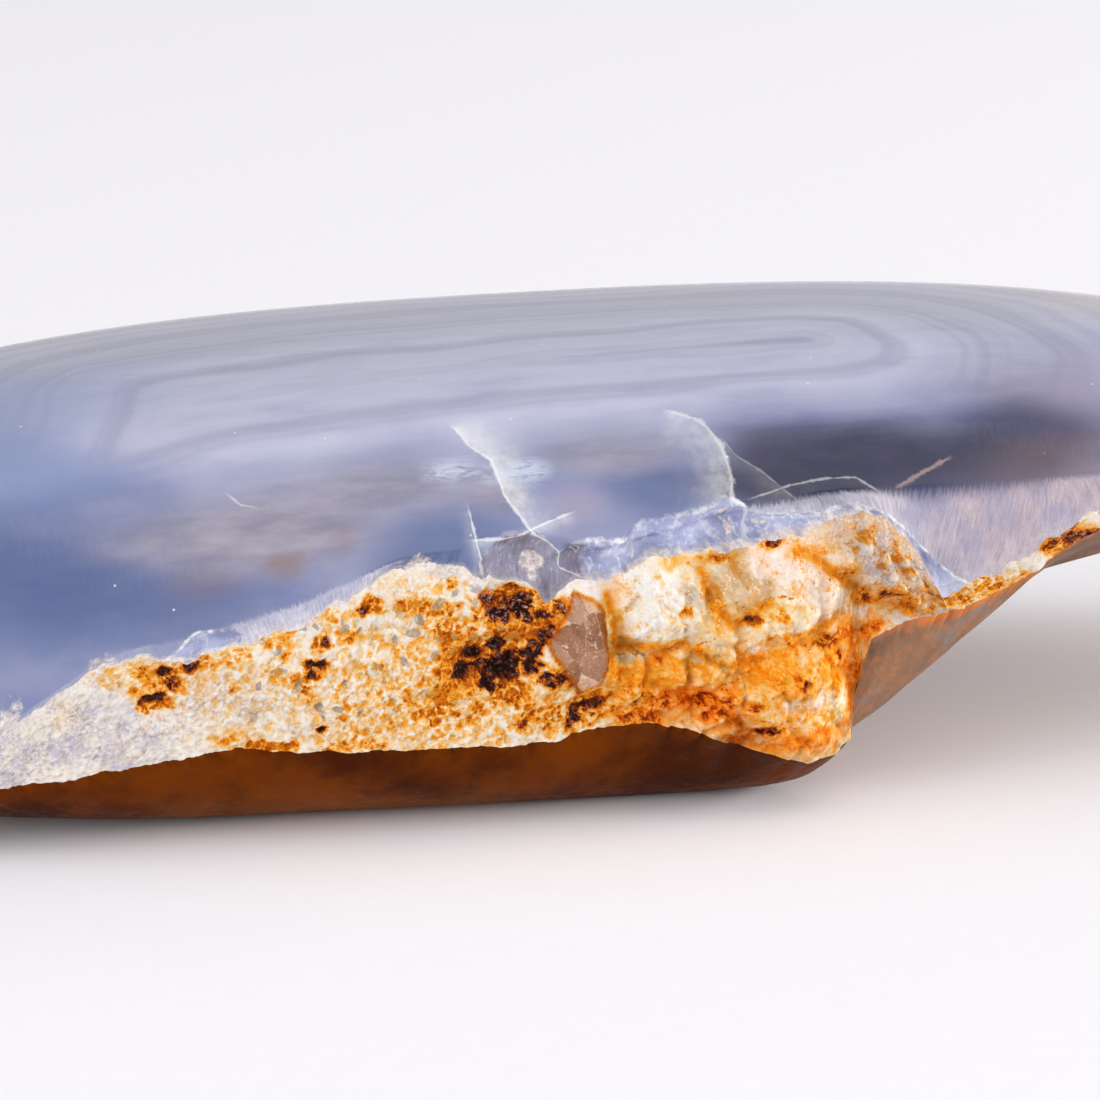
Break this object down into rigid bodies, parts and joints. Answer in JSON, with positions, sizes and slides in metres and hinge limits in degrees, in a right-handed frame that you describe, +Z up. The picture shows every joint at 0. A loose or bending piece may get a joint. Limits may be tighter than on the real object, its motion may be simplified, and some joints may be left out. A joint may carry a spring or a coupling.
{
  "type": "polished agate freeform stone",
  "caption": "Long flat-based agate freeform with a polished blue-grey banded dome, a ground bevel and a rough ochre rind left along one edge; rests on a flat face as a display stone.",
  "frame": {"origin": "a point of the flat rest face straight under the top of the dome", "axes": "+X along the stone to its raised thin end, +Z up out of the rest face, -Y out of the edge that keeps its rough rind"},
  "size_m": [0.0646, 0.0267, 0.0141],
  "materials": {
    "chalcedony": "polished stone with rough natural rind"
  },
  "bodies": {
    "root": {"agate": "chalcedony"}
  },
  "joints": []
}
